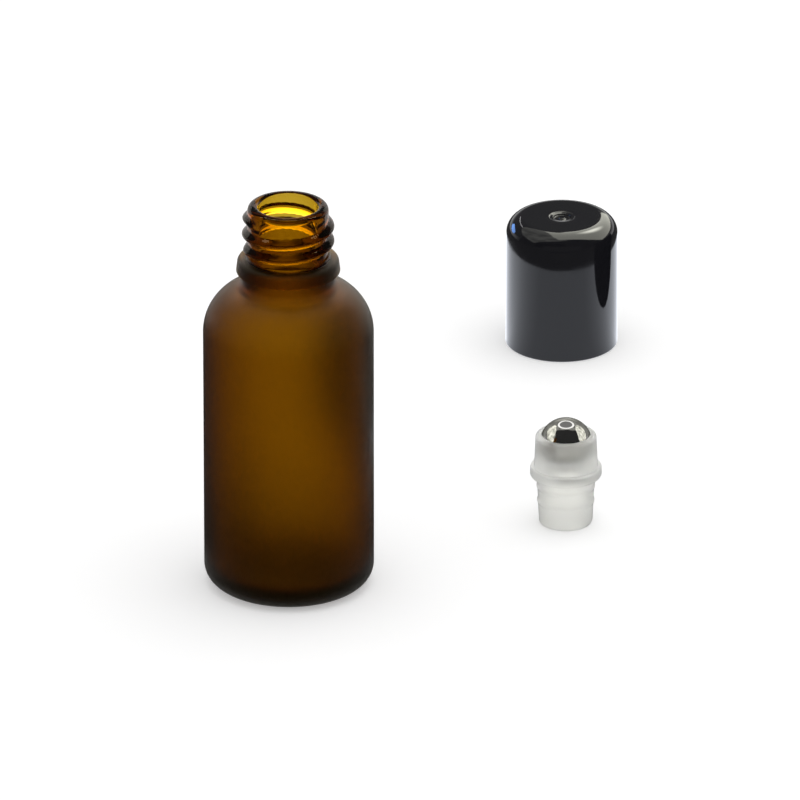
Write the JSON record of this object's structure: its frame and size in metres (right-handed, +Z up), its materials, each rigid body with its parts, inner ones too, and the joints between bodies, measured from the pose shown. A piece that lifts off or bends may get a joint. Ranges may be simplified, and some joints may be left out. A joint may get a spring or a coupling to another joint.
{
  "type": "roll on bottle",
  "caption": "Amber glass roll-on bottle with a screw neck, its press-in roller housing and steel ball, and a black screw cap, standing apart.",
  "frame": {"origin": "on the table, at the centre of the ground rectangle that the three standing pieces cover together", "axes": "+Z up, along the bottle's neck; +X to the right as pictured; +Y away from the camera, and the longest side of the set"},
  "size_m": [0.0818, 0.1428, 0.079],
  "materials": {
    "amber_glass": "frosted from the collar down, clear and polished on the threaded neck",
    "natural_plastic": "milky translucent moulded polyethylene, satin",
    "ball_steel": "polished stainless steel",
    "black_plastic": "glossy moulded plastic with a gate dimple in the top"
  },
  "bodies": {
    "bottle": {"glass_bottle": "amber_glass"},
    "housing": {"roller_housing": "natural_plastic"},
    "ball": {"roller_ball": "ball_steel"},
    "cap": {"screw_cap": "black_plastic"}
  },
  "joints": [
    {"name": "cap_lift", "type": "slide", "parent": "bottle", "child": "cap", "axis": [0, 0, 1], "range_m": [0, 0.094]},
    {"name": "housing_lift", "type": "slide", "parent": "bottle", "child": "housing", "axis": [0, 0, 1], "range_m": [0, 0.082]},
    {"name": "ball_roll", "type": "hinge", "parent": "housing", "child": "ball", "pos_m": [0.02962, -0.02788, 0.01654], "axis": [1, 0, 0], "continuous": true}
  ]
}
